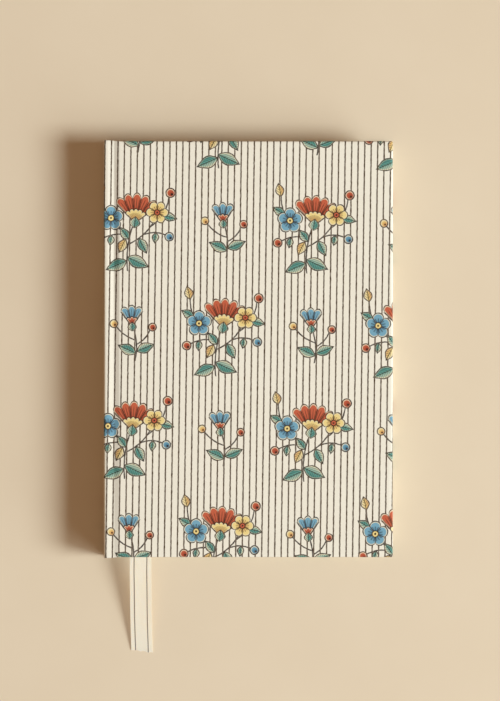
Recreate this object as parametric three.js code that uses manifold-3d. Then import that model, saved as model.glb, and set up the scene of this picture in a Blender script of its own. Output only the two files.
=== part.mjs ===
// A hardcover notebook with a ribbon marker, lying closed on its back cover.
// Millimetres, +Z up. The spine is at -X, the fore-edge at +X and the head at +Y. The origin is the
// middle of the back cover's outer face.
import * as THREE from "three";
import { mergeVertices } from "three/addons/utils/BufferGeometryUtils.js";
import Module from "manifold-3d";

const wasm = await Module();
wasm.setup();

// Driving dimensions: the case
const coverWidth = 150; // spine's outer face to the boards' fore-edge
const coverHeight = 216;
const boardThickness = 2.2;
const coveringThickness = 0.35;
const turnInWidth = 15; // how far the covering is folded over the boards' inner faces
const spineStripThickness = 1.2;
const jointReach = 8.5; // spine's outer face to the boards' spine edge
const grooveWidth = 6.3;
const grooveDepth = 0.7;
const grooveRise = 2.7; // from the groove's lowest line up to the board's edge
const capOverhang = 0.5; // how far the folded spine covering stands past the boards

// Driving dimensions: the text block
const square = 3; // how far the boards stand past the leaves
const leafThickness = 0.125;
const leavesPerSignature = 8;
const signatureCount = 10;
const endpaperThickness = 0.15;
const turningLeaves = 4; // the front half of the first signature
const gutterWidth = 3; // of a leaf, held by the sewing and the glue

// Driving dimensions: the spine's linings, thread, bands and ribbon
const mullThickness = 0.25;
const mullShortfall = 20; // at the head and tail
const mullFlapWidth = 15; // on each board
const liningThickness = 0.2;
const threadThickness = 0.25;
const threadWidth = 0.6;
const kettleInset = 25; // from the head and tail to the end sewing stations
const tapeStationReach = 28; // from the middle to the inner sewing stations
const bandRadius = 1;
const bandTapeLength = 12;
const ribbonWidth = 11.3;
const ribbonThickness = 0.25;
const ribbonExit = 18.8; // spine's outer face to the ribbon's middle where it leaves the tail
const ribbonDrift = 0.8; // sideways run of the free end
const ribbonFreeLength = 50; // past the cover
const ribbonRoot = 1; // from the cover's tail to the bend of the free end

// Named clearances
const glueLine = 0.05; // between faces that are glued or lie on each other
const leafGap = 0.02; // between the leaves that turn
const bendGap = 0.3; // between a turning piece and what holds it
const hollowGap = 0.4; // between the spine covering's turn-in and the block's lining

// Heights, from the back cover's outer face up
const backBoardLow = coveringThickness + glueLine;
const backBoardHigh = backBoardLow + boardThickness;
const turnInLayer = coveringThickness + 2 * glueLine;
const backPastedownLow = backBoardHigh + turnInLayer;
const backFlyleafLow = backPastedownLow + endpaperThickness + glueLine;
const blockLow = backFlyleafLow + endpaperThickness + glueLine;
const signatureThickness = leafThickness * leavesPerSignature;
const markedSignature = Math.ceil(signatureCount / 2); // the ribbon lies behind it
const ribbonLayer = ribbonThickness + glueLine;
const turningLayer = turningLeaves * leafGap;

// The bottom face of a signature, counted from the front, as they lie.
function signatureLow(number) {
  const below = signatureCount - number;
  const pitch = signatureThickness + glueLine;
  const aboveRibbon = number <= markedSignature;
  return blockLow + below * pitch + (aboveRibbon ? ribbonLayer : 0);
}

const blockHigh = signatureLow(1) + signatureThickness + turningLayer;
const ribbonLow = signatureLow(markedSignature) - ribbonLayer;
const frontFlyleafLow = blockHigh + glueLine;
const frontPastedownLow = frontFlyleafLow + endpaperThickness + glueLine;
const frontPastedownHigh = frontPastedownLow + endpaperThickness;
const frontBoardLow = frontPastedownHigh + turnInLayer;
const frontBoardHigh = frontBoardLow + boardThickness;
const bookHigh = frontBoardHigh + glueLine + coveringThickness;

// Places along X, from the spine's outer face inwards
const spineOuter = -coverWidth / 2;
const foreEdge = coverWidth / 2;
const boardStart = spineOuter + jointReach;
const boardEnd = foreEdge - coveringThickness - glueLine;
const stripOuter = spineOuter + coveringThickness + glueLine;
const stripInner = stripOuter + spineStripThickness;
const spineInner = stripInner + glueLine + coveringThickness;
const liningOuter = spineInner + hollowGap;
const mullOuter = liningOuter + liningThickness + glueLine;
const threadOuter = mullOuter + mullThickness + glueLine;
const foldX = threadOuter + threadThickness + glueLine;
const leafStart = foldX + gutterWidth + bendGap;
const leafEnd = foreEdge - square;

// Places along Y
const coverTop = coverHeight / 2;
const boardTop = coverTop - coveringThickness - glueLine;
const capTop = coverTop + capOverhang;
const leafTop = coverTop - square;
const mullTop = leafTop - mullShortfall;

// Geometry helpers
function box(x, y, z) {
  const shape = new THREE.BoxGeometry(x[1] - x[0], y[1] - y[0], z[1] - z[0]);
  return shape.translate((x[0] + x[1]) / 2, (y[0] + y[1]) / 2, (z[0] + z[1]) / 2);
}

// A closed outline of [x, z] points, drawn out along Y.
function alongY(points, y) {
  const shape = new THREE.Shape(points.map(([x, z]) => new THREE.Vector2(x, z)));
  const solid = new THREE.ExtrudeGeometry(shape, { depth: y[1] - y[0], bevelEnabled: false });
  return solid.rotateX(Math.PI / 2).translate(0, y[1], 0);
}

// A closed outline of [x, y] points, drawn out along Z.
function alongZ(points, z) {
  const shape = new THREE.Shape(points.map(([x, y]) => new THREE.Vector2(x, y)));
  const solid = new THREE.ExtrudeGeometry(shape, { depth: z[1] - z[0], bevelEnabled: false });
  return solid.translate(0, 0, z[0]);
}

function toManifold(geometry) {
  const plain = geometry.clone();
  plain.deleteAttribute("normal");
  plain.deleteAttribute("uv");
  const merged = mergeVertices(plain, 1e-4);
  const vertProperties = merged.attributes.position.array;
  const triVerts = new Uint32Array(merged.index.array);
  return new wasm.Manifold(new wasm.Mesh({ numProp: 3, vertProperties, triVerts }));
}

function toGeometry(manifold) {
  const mesh = manifold.getMesh();
  const geometry = new THREE.BufferGeometry();
  geometry.setAttribute("position", new THREE.BufferAttribute(mesh.vertProperties, 3));
  geometry.setIndex(new THREE.BufferAttribute(mesh.triVerts, 1));
  const flat = geometry.toNonIndexed();
  flat.computeVertexNormals();
  return flat;
}

function joined(first, second) {
  return toGeometry(toManifold(first).add(toManifold(second)));
}

function cut(body, ...tools) {
  return toGeometry(tools.reduce((left, tool) => left.subtract(toManifold(tool)), toManifold(body)));
}

// Turns a piece of the back cover into its twin on the front cover.
function onFront(z) {
  return [bookHigh - z[1], bookHigh - z[0]];
}

const across = (half) => [-half, half];
const book = new THREE.Group();

function add(name, geometry, material) {
  const surface = new THREE.MeshStandardMaterial({ metalness: 0, ...material });
  const mesh = new THREE.Mesh(geometry, surface);
  mesh.name = name;
  book.add(mesh);
}

const paper = { color: "#f4eedd", roughness: 0.9 };
const endpaper = { color: "#f1e6cc", roughness: 0.85 };
const board = { color: "#a99a84", roughness: 0.95 };
const printedPaper = { color: "#ece4d4", roughness: 0.7 };
const mull = { color: "#e9e3d2", roughness: 1 };
const kraft = { color: "#b08a5c", roughness: 0.9 };
const thread = { color: "#f2ead8", roughness: 0.8 };
const band = { color: "#8a3f2b", roughness: 0.7 };
const ribbon = { color: "#eadfc8", roughness: 0.6 };

// One cover: a board, its printed covering with three turn-ins, the mull's flap and the pastedown
function addCover(side, place) {
  const boardZ = [backBoardLow, backBoardHigh];
  const innerFace = backPastedownLow - glueLine;
  add(`${side}_board`, box([boardStart, boardEnd], across(boardTop), place(boardZ)), board);

  const wrap = box([boardStart, foreEdge], across(coverTop), place([0, innerFace]));
  const pocketX = [boardStart - 1, boardEnd + glueLine];
  const pocketZ = [coveringThickness, backBoardHigh + glueLine];
  const pocket = box(pocketX, across(boardTop + glueLine), place(pocketZ));
  const windowX = [boardStart - 1, foreEdge - turnInWidth];
  const windowZ = [backBoardHigh, innerFace + 1];
  const window = box(windowX, across(coverTop - turnInWidth), place(windowZ));
  add(`${side}_covering`, cut(wrap, pocket, window), printedPaper);

  const flapZ = [innerFace - mullThickness, innerFace];
  const flapX = [boardStart, boardStart + mullFlapWidth];
  const flapTop = coverTop - turnInWidth - glueLine;
  add(`${side}_mull_flap`, box(flapX, across(Math.min(mullTop, flapTop)), place(flapZ)), mull);

  const sheetX = [boardStart, leafEnd];
  const sheetZ = [backPastedownLow, backPastedownLow + endpaperThickness];
  const sheet = box(sheetX, across(leafTop), place(sheetZ));
  const sunkX = [flapX[1] + glueLine, foreEdge - turnInWidth - glueLine];
  const sunkZ = [backBoardHigh + glueLine, backPastedownLow + endpaperThickness / 2];
  const sunk = box(sunkX, across(flapTop), place(sunkZ));
  add(`${side}_pastedown`, joined(sheet, sunk), endpaper);
}

// The pieces that bend when a cover opens: the covering's groove, the mull and the endpaper's fold
function addJoint(side, place) {
  const grooveEnd = boardStart - glueLine;
  const grooveStart = grooveEnd - grooveWidth;
  const lowest = grooveEnd - grooveRise;
  const outside = (x) => {
    const share = x < lowest ? (x - grooveStart) / (lowest - grooveStart) : (grooveEnd - x) / grooveRise;
    return (grooveDepth * (1 - Math.cos(Math.PI * Math.max(0, share)))) / 2;
  };
  const steps = 16;
  const xs = [spineInner + glueLine];
  for (let i = 0; i <= steps; i += 1) xs.push(grooveStart + (grooveWidth * i) / steps);
  const outer = xs.map((x) => [x, outside(x)]);
  const inner = xs.map((x) => [x, outside(x) + coveringThickness]).reverse();
  addProfile(`${side}_joint_covering`, [...outer, ...inner], capTop, place, printedPaper);

  const flapHigh = backPastedownLow - glueLine;
  const flapLow = flapHigh - mullThickness;
  const mullInner = mullOuter + mullThickness;
  const mullBend = [
    [mullOuter, flapLow],
    [boardStart - glueLine, flapLow],
    [boardStart - glueLine, flapHigh],
    [mullInner, flapHigh],
    [mullInner, blockLow - glueLine],
    [mullOuter, blockLow - glueLine],
  ];
  addProfile(`${side}_mull_joint`, mullBend, mullTop, place, mull);

  const flyleafHigh = backFlyleafLow + endpaperThickness;
  const fold = [
    [foldX, backPastedownLow],
    [boardStart - glueLine, backPastedownLow],
    [boardStart - glueLine, backPastedownLow + endpaperThickness],
    [foldX + endpaperThickness, backPastedownLow + endpaperThickness],
    [foldX + endpaperThickness, backFlyleafLow],
    [leafStart - bendGap, backFlyleafLow],
    [leafStart - bendGap, flyleafHigh],
    [foldX, flyleafHigh],
  ];
  addProfile(`${side}_endpaper_fold`, fold, leafTop, place, endpaper);
}

function addProfile(name, points, reach, place, material) {
  const placed = points.map(([x, z]) => [x, place([z, z])[0]]);
  add(name, alongY(placed, across(reach)), material);
}

const onBack = (z) => z;
addCover("back", onBack);
addJoint("back", onBack);
addCover("front", onFront);
addJoint("front", onFront);

// The case's spine: a card strip inside the covering, which is folded over it at the head and tail
const stripZ = [coveringThickness + glueLine, bookHigh - coveringThickness - glueLine];
const stripTop = capTop - coveringThickness - glueLine;
add("spine_strip", box([stripOuter, stripInner], across(stripTop), stripZ), board);

const spineWrap = box([spineOuter, spineInner], across(capTop), [0, bookHigh]);
const stripPocket = box(
  [spineOuter + coveringThickness, stripInner + glueLine],
  across(stripTop + glueLine),
  [coveringThickness, bookHigh - coveringThickness],
);
const spineWindow = box(
  [stripInner, spineInner + 1],
  across(capTop - turnInWidth),
  [coveringThickness, bookHigh - coveringThickness],
);
add("spine_covering", cut(spineWrap, stripPocket, spineWindow), printedPaper);

// The signatures, each with a round fold at the spine
function signatureProfile(low, high) {
  const radius = (high - low) / 2;
  const middle = (low + high) / 2;
  const points = [[leafEnd, low], [leafEnd, high]];
  const steps = 6;
  for (let i = 0; i <= steps; i += 1) {
    const angle = Math.PI / 2 + (Math.PI * i) / steps;
    points.push([foldX + radius + radius * Math.cos(angle), middle + radius * Math.sin(angle)]);
  }
  return points;
}

const twoDigits = (number) => String(number).padStart(2, "0");
const turningLow = signatureLow(1) + signatureThickness - turningLeaves * leafThickness;
for (let number = 1; number <= signatureCount; number += 1) {
  const low = signatureLow(number);
  const high = number === 1 ? blockHigh : low + signatureThickness;
  const whole = alongY(signatureProfile(low, high), across(leafTop));
  const room = box([foldX + gutterWidth, leafEnd + 1], across(leafTop + 1), [turningLow, blockHigh + 1]);
  add(`signature_${twoDigits(number)}`, number === 1 ? cut(whole, room) : whole, paper);
}

// The leaves that turn, counted from the front
for (let number = 1; number <= turningLeaves; number += 1) {
  const high = blockHigh - (number - 1) * (leafThickness + leafGap);
  const leafZ = [high - leafThickness, high];
  add(`leaf_${twoDigits(number)}`, box([leafStart, leafEnd], across(leafTop), leafZ), paper);
}
const flyleafX = [leafStart, leafEnd];
const frontFlyleafZ = [frontFlyleafLow, frontFlyleafLow + endpaperThickness];
const backFlyleafZ = [backFlyleafLow, backFlyleafLow + endpaperThickness];
add("front_flyleaf", box(flyleafX, across(leafTop), frontFlyleafZ), endpaper);
add("back_flyleaf", box(flyleafX, across(leafTop), backFlyleafZ), endpaper);

// The block's spine: sewing thread, mull and a paper lining
const threadX = [threadOuter, threadOuter + threadThickness];
const stations = [leafTop - kettleInset, tapeStationReach];
const stationPlaces = [stations[0], stations[1], -stations[1], -stations[0]];
stationPlaces.forEach((y, index) => {
  const threadY = [y - threadWidth / 2, y + threadWidth / 2];
  add(`sewing_thread_${index + 1}`, box(threadX, threadY, [blockLow, blockHigh]), thread);
});
const mullX = [mullOuter, mullOuter + mullThickness];
add("spine_mull", box(mullX, across(mullTop), [blockLow, blockHigh]), mull);
const liningX = [liningOuter, liningOuter + liningThickness];
add("spine_lining", box(liningX, across(leafTop), [blockLow, blockHigh]), kraft);

// The headband and tailband: a bead on the block's edge, sewn to a tape on its spine
function bandProfile(end) {
  const centreX = threadOuter + bandRadius;
  const centreY = leafTop + glueLine + bandRadius;
  const points = [
    [threadOuter, leafTop - bandTapeLength],
    [threadOuter + threadThickness, leafTop - bandTapeLength],
    [threadOuter + threadThickness, leafTop + glueLine],
  ];
  const steps = 12;
  for (let i = 0; i <= steps; i += 1) {
    const angle = -Math.PI / 2 + (1.5 * Math.PI * i) / steps;
    points.push([centreX + bandRadius * Math.cos(angle), centreY + bandRadius * Math.sin(angle)]);
  }
  const placed = points.map(([x, y]) => [x, end * y]);
  return end > 0 ? placed : placed.reverse();
}
add("headband", alongZ(bandProfile(1), [blockLow, blockHigh]), band);
add("tailband", alongZ(bandProfile(-1), [blockLow, blockHigh]), band);

// The ribbon: held at the head between two signatures, loose past the tail
const ribbonBend = -coverTop - ribbonRoot;
const exitX = spineOuter + ribbonExit;
const headX = foldX + ribbonWidth / 2;
const heldEnd = ribbonBend + bendGap / 2;
const half = ribbonWidth / 2;
const heldOutline = [
  [headX - half, leafTop - 1],
  [exitX - half, -leafTop],
  [exitX - half, heldEnd],
  [exitX + half, heldEnd],
  [exitX + half, -leafTop],
  [headX + half, leafTop - 1],
];
add("ribbon_marker", alongZ(heldOutline, [ribbonLow, ribbonLow + ribbonThickness]), ribbon);

const freeStart = ribbonBend - bendGap / 2;
const freeEnd = -coverTop - ribbonFreeLength;
const freeOutline = [
  [exitX - half, freeStart],
  [exitX - half + ribbonDrift, freeEnd],
  [exitX + half + ribbonDrift, freeEnd],
  [exitX + half, freeStart],
];
const tail = alongZ(freeOutline, [0, ribbonThickness]);
const fall = (ribbonLow - glueLine) / (freeStart - freeEnd);
const places = tail.attributes.position;
for (let i = 0; i < places.count; i += 1) {
  places.setZ(i, places.getZ(i) + glueLine + fall * (places.getY(i) - freeEnd));
}
tail.computeVertexNormals();
add("ribbon_tail", tail, ribbon);

export default book;
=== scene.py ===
# The looks of a printed hardcover notebook with a ribbon marker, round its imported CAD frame.
# Metres, +Z up. The notebook lies on its back cover with its spine at -X and its head at +Y.
import math
import random
from collections import namedtuple
from math import cos, dist, pi, radians, sin

import bmesh
import bpy
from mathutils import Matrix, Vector


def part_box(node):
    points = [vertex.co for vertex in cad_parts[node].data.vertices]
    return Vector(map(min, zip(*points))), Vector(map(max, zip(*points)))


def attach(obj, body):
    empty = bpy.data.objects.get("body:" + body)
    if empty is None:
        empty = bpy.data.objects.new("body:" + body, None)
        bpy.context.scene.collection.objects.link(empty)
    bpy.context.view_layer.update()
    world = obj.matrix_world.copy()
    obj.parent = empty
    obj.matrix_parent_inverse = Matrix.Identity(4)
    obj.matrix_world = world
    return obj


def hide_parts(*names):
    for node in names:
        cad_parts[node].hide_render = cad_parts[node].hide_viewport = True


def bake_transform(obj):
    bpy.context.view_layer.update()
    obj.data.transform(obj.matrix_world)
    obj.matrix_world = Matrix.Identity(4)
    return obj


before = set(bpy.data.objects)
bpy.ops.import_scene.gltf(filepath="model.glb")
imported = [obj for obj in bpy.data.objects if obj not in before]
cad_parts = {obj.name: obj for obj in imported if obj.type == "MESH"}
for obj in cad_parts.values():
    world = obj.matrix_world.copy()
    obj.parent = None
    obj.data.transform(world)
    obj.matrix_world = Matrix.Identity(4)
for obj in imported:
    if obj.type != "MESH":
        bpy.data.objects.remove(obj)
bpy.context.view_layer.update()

MM = 0.001

# Places that the frame gives
COVER_LOW, COVER_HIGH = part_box("front_covering")
SPINE_LOW, SPINE_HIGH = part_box("spine_covering")
FLYLEAF_LOW, FLYLEAF_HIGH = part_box("front_flyleaf")
BLOCK_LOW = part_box("signature_10")[0]
BLOCK_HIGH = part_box("signature_01")[1]
MULL_LOW, MULL_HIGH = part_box("spine_mull")
RIBBON_LOW, RIBBON_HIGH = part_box("ribbon_marker")
TAIL_LOW, TAIL_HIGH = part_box("ribbon_tail")

BOOK_HIGH = COVER_HIGH.z
SPINE_X = SPINE_LOW.x
LIP_X = SPINE_HIGH.x  # where the spine's covering ends and the covers' begins
BOARD_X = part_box("front_board")[0].x
FORE_X = COVER_HIGH.x
COVER_Y = COVER_HIGH.y
CAP_Y = SPINE_HIGH.y
PAGE_X = BLOCK_HIGH.x
PAGE_Y = BLOCK_HIGH.y
FOLD_X = BLOCK_LOW.x


# The camera looks straight down, as the photograph was taken
PHOTO_HIGH = 701
MM_PER_PIXEL = 0.519
PHOTO_CENTRE = (250, 350.5)
COVER_CENTRE = (248.3, 349.1)
CAMERA_ABOVE = 1.6
SENSOR = 36


def make_camera():
    data = bpy.data.cameras.new("photo_camera")
    data.sensor_width = data.sensor_height = SENSOR
    frame_high = PHOTO_HIGH * MM_PER_PIXEL * MM
    data.lens = SENSOR * CAMERA_ABOVE / frame_high
    data.clip_start = 0.05
    data.clip_end = 20
    camera = bpy.data.objects.new("photo_camera", data)
    right = (PHOTO_CENTRE[0] - COVER_CENTRE[0]) * MM_PER_PIXEL * MM
    down = (PHOTO_CENTRE[1] - COVER_CENTRE[1]) * MM_PER_PIXEL * MM
    camera.location = (right, -down, BOOK_HIGH + CAMERA_ABOVE)
    bpy.context.scene.collection.objects.link(camera)
    bpy.context.scene.camera = camera


make_camera()


# Shader graphs, written as sums
class Num:
    """A number in a shader: one node's output. Sums of such numbers become nodes."""

    def __init__(self, graph, socket):
        self.graph = graph
        self.socket = socket

    def __abs__(self):
        return self.graph.math("ABSOLUTE", self)


def add_sign(sign, operation):
    """Lets numbers in a shader be joined by a sign, with a plain number before or after it."""
    setattr(Num, f"__{sign}__", lambda first, second: first.graph.math(operation, first, second))
    setattr(Num, f"__r{sign}__", lambda second, first: second.graph.math(operation, first, second))


add_sign("add", "ADD")
add_sign("sub", "SUBTRACT")
add_sign("mul", "MULTIPLY")
add_sign("truediv", "DIVIDE")


def highest(first, second):
    return first.graph.math("MAXIMUM", first, second)


def sine(angle):
    return angle.graph.math("SINE", angle)


def cosine(angle):
    return angle.graph.math("COSINE", angle)


def gained(value, gain, start, clamp=False):
    return value.graph.math("MULTIPLY_ADD", value, gain, start, clamp=clamp)


def ramp(value, gain, start):
    """value * gain + start, held between 0 and 1."""
    return gained(value, gain, start, clamp=True)


def wave(angle):
    return sine(angle) * 0.5 + 0.5


class Graph:
    """A material and its nodes. Nodes are made in the order in which they are worked out."""

    def __init__(self, name):
        self.material = bpy.data.materials.new(name)
        self.material.use_nodes = True
        self.tree = self.material.node_tree
        self.tree.nodes.clear()

    def put(self, node, key, value):
        socket = node.inputs[key]
        if isinstance(value, Num):
            self.tree.links.new(value.socket, socket)
        elif isinstance(value, tuple) and len(value) == 3 and len(socket.default_value) == 4:
            socket.default_value = (*value, 1)
        else:
            socket.default_value = value

    def node(self, kind, inputs, output=0, **settings):
        node = self.tree.nodes.new(kind)
        for key, value in settings.items():
            setattr(node, key, value)
        for key, value in inputs.items():
            self.put(node, key, value)
        return Num(self, node.outputs[output])

    def math(self, operation, *values, clamp=False):
        return self.node("ShaderNodeMath", dict(enumerate(values)), operation=operation, use_clamp=clamp)

    def dimmed(self, colour, level):
        return self.node("ShaderNodeVectorMath", {0: colour, 3: level}, operation="SCALE")

    def mix(self, share, first, second):
        inputs = {0: share, 6: first, 7: second}
        return self.node("ShaderNodeMix", inputs, output=2, data_type="RGBA")

    def scaled(self, vector, x, y, z=1):
        return self.node("ShaderNodeVectorMath", {0: vector, 1: (x, y, z)}, operation="MULTIPLY")

    def split(self, vector):
        node = self.tree.nodes.new("ShaderNodeSeparateXYZ")
        self.tree.links.new(vector.socket, node.inputs[0])
        return [Num(self, socket) for socket in node.outputs]

    def joined(self, x, y, z=0):
        return self.node("ShaderNodeCombineXYZ", {0: x, 1: y, 2: z})

    def noise(self, vector, scale, detail=2, output="Fac"):
        inputs = {"Vector": vector, "Scale": scale, "Detail": detail}
        return self.node("ShaderNodeTexNoise", inputs, output=output)

    def streaks(self, vector, x, y, z=1, detail=2):
        """Noise that is finer along some directions than along others."""
        return self.noise(self.scaled(vector, x, y, z), 1.0, detail)

    def place(self):
        """The point on the object, in millimetres."""
        return self.scaled(self.node("ShaderNodeTexCoord", {}, output="Object"), 1000, 1000, 1000)

    def sheet(self):
        """The point on the flat sheet before it was folded, in millimetres."""
        return self.scaled(self.node("ShaderNodeUVMap", {}, uv_map="Sheet"), 1000, 1000, 1000)

    def bump(self, height, depth):
        """A normal from a height between 0 and 1 that stands for depth metres."""
        return self.node("ShaderNodeBump", {"Strength": 1.0, "Distance": depth, "Height": height})

    def finish(self, colour, roughness, normal=None, **extra):
        shader = self.tree.nodes.new("ShaderNodeBsdfPrincipled")
        values = {"Base Color": colour, "Roughness": roughness, **extra}
        if normal is not None:
            values["Normal"] = normal
        for key, value in values.items():
            self.put(shader, key, value)
        output = self.tree.nodes.new("ShaderNodeOutputMaterial")
        self.tree.links.new(shader.outputs[0], output.inputs["Surface"])
        return self.material


def rgb(*parts):
    """A colour written as in a picture, 0 to 255, as the linear numbers that Blender takes."""
    shares = [part / 255 for part in parts]
    return tuple(share / 12.92 if share <= 0.04045 else ((share + 0.055) / 1.055) ** 2.4 for share in shares)


# The printed covering: stripes and sprigs, drawn in millimetres on the flat sheet
CREAM = rgb(249, 242, 224)
SHADED_CREAM = rgb(242, 234, 215)
INK = rgb(44, 28, 19)
STRIPE_INK = rgb(74, 50, 26)
TERRACOTTA = rgb(200, 98, 66)
RUST = rgb(150, 56, 34)
BLUE = rgb(122, 170, 190)
DEEP_BLUE = rgb(56, 104, 130)
TEAL = rgb(112, 172, 158)
DEEP_TEAL = rgb(52, 114, 106)
YELLOW = rgb(242, 216, 142)
OCHRE = rgb(206, 138, 70)
PALE = rgb(240, 226, 192)
DARKER = {TERRACOTTA: RUST, BLUE: DEEP_BLUE, TEAL: DEEP_TEAL, YELLOW: OCHRE}
STRIPE_PITCH = 3.37
STRIPE_WIDTH = 0.74
PEN = 0.46  # width of the drawn outlines, before the sprigs are enlarged
SOFT = 0.1  # how soft the ink's edge is
SPRIG_SCALE = 1.25
CELL = (46.5, 54.0)  # one sprig to a cell, posies and single stems in turn
SPRIG_START = (-14.0, 10.0)  # the middle of a posy's cell
PRINT_SLANT = 0.014  # the print lies a little off square on the covers


class Print:
    """What has been printed so far: the colours, and the dark lines over them. The plain numbers
    in its methods are millimetres, shares of a shape's own size, or strengths of a tint."""

    def __init__(self, graph, colour):
        self.graph = graph
        self.colour = colour
        self.line = None
        self.point = None  # across and up from the middle of the sprig that is being drawn

    def within(self, distance):
        """1 where a signed distance is inside the shape, 0 outside, soft at the edge."""
        return ramp(distance, -1 / SOFT, 0.5)

    def tint(self, mask, colour):
        """Colour under the lines."""
        self.colour = self.graph.mix(mask, self.colour, colour)

    def stroke(self, mask):
        self.line = highest(self.line, mask)

    def outlined(self, distance, colour, rim=0.0):
        """A filled shape with a dark outline and, inside that, a pale rim of the given width."""
        mask = self.within(distance)
        self.tint(mask, colour)
        self.line = self.line * (1 - mask)
        if rim:
            inside = abs(distance + (PEN / 2 + rim / 2)) - rim / 2
            self.tint(self.within(inside) * 0.85, PALE)
        self.stroke(self.within(abs(distance) - PEN / 2))
        return mask

    def turned(self, at, degrees):
        """The point as lengths along and across a direction, from a place in the sprig."""
        run = cos(radians(degrees))
        rise = sin(radians(degrees))
        x = self.point[0] - at[0]
        y = self.point[1] - at[1]
        return x * run + y * rise, y * run - x * rise

    def stem(self, start, end, bow):
        length = dist(start, end)
        degrees = math.degrees(math.atan2(end[1] - start[1], end[0] - start[0]))
        along, off = self.turned(start, degrees)
        bowed = off - along * (length - along) * (4 * bow / length ** 2)
        past = abs(along - length / 2) - length / 2
        distance = highest(abs(bowed) - PEN * 0.64, past)
        self.stroke(self.within(distance))

    def leaf(self, at, degrees, length, width, colour):
        along, off = self.turned(at, degrees)
        share = self.graph.math("MINIMUM", highest(along / length, -0.4), 1.4)
        side = sine(share * pi) * (0.62 * width - share * (0.24 * width))
        mask = self.outlined(abs(off) - side, colour, 0.3)
        light = ramp(off, 1.6 / width, 0.1)
        self.tint(mask * light * 0.8, PALE)
        dark = ramp(off, -2.4 / width, 0.35)
        self.tint(mask * dark * 0.55, DARKER[colour])
        rib = self.within(abs(off) - PEN * 0.36)
        veins = sine((along - abs(off) * 1.1) * (2 * pi / 1.15))
        thin = ramp(veins, 2.6, -1.3)
        self.stroke(mask * highest(rib, thin * 0.75))

    def polar(self, at, degrees):
        along, off = self.turned(at, degrees)
        reach = self.graph.math("SQRT", gained(along, along, off * off))
        return reach, self.graph.math("ARCTAN2", off, along)

    def flower(self, at, degrees, radius, petals, colour, heart):
        reach, angle = self.polar(at, degrees)
        petal = abs(cosine(angle * (petals / 2)))
        edge = self.graph.math("POWER", petal, 0.55) * (0.36 * radius) + 0.66 * radius
        mask = self.outlined(reach - edge, colour, 0.34)
        deep = ramp(reach, -2.4 / radius, 1.55)
        self.tint(mask * deep * 0.75, DARKER[colour])
        seam = self.within(petal * reach * (1.6 / petals) - PEN * 0.36)
        rays = cosine(angle * (petals * 3))
        stroke = ramp(rays, 3.2, -1.6)
        inner = self.within(reach - radius * 0.6)
        self.stroke(mask * highest(seam, stroke * inner * 0.85))
        self.outlined(reach - radius * 0.25, heart)
        self.stroke(self.within(reach - radius * 0.09))

    def fan(self, at, degrees, radius, petals, spread, colour, heart):
        """A bloom seen from the side, whose petals spread to both sides of its middle line."""
        reach, angle = self.polar(at, degrees)
        beyond = (abs(angle) - spread) * reach
        turn = pi * petals / (2 * spread)
        petal = abs(cosine(angle * turn + (petals % 2 - 1) * pi / 2))
        edge = self.graph.math("POWER", petal, 0.6) * (0.2 * radius) + 0.8 * radius
        distance = highest(reach - edge, beyond)
        mask = self.outlined(distance, colour, 0.42)
        low = ramp(reach, -2.6 / radius, 1.75)
        self.tint(mask * low * 0.7, DARKER[colour])
        seam = self.within(petal * reach * (1.9 * spread / (petals * pi)) - PEN * 0.42)
        rays = cosine(angle * (turn * 6))
        stroke = ramp(rays, 3.2, -1.5)
        long_ray = gained(cosine(angle * (turn * 12)), 0.1, 0.74)
        rayed = self.within(reach - long_ray * radius)
        self.stroke(mask * highest(seam, stroke * rayed * 0.85))
        short = highest(reach - edge * 0.48, beyond)
        cup = self.outlined(short, heart, 0.3)
        self.tint(cup * ramp(reach, -3.6 / radius, 1.3), DARKER[heart])
        self.stroke(cup * stroke * self.within(reach - radius * 0.34))

    def berry(self, at, radius, colour):
        reach, _ = self.polar(at, 0)
        mask = self.outlined(reach - radius, colour, 0.34)
        below, _ = self.polar((at[0] + radius * 0.3, at[1] - radius * 0.3), 0)
        self.tint(mask * ramp(below, -1.1 / radius, 1.1), DARKER[colour])
        self.stroke(self.within(below - radius * 0.26))


def along_stem(stem, share):
    """The point at a share of a bowed stem's length."""
    start, end, bow = stem
    length = dist(start, end)
    run = ((end[0] - start[0]) / length, (end[1] - start[1]) / length)
    off = 4 * bow * share * (1 - share)
    x = start[0] + run[0] * length * share - run[1] * off
    y = start[1] + run[1] * length * share + run[0] * off
    return (x, y)


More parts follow.
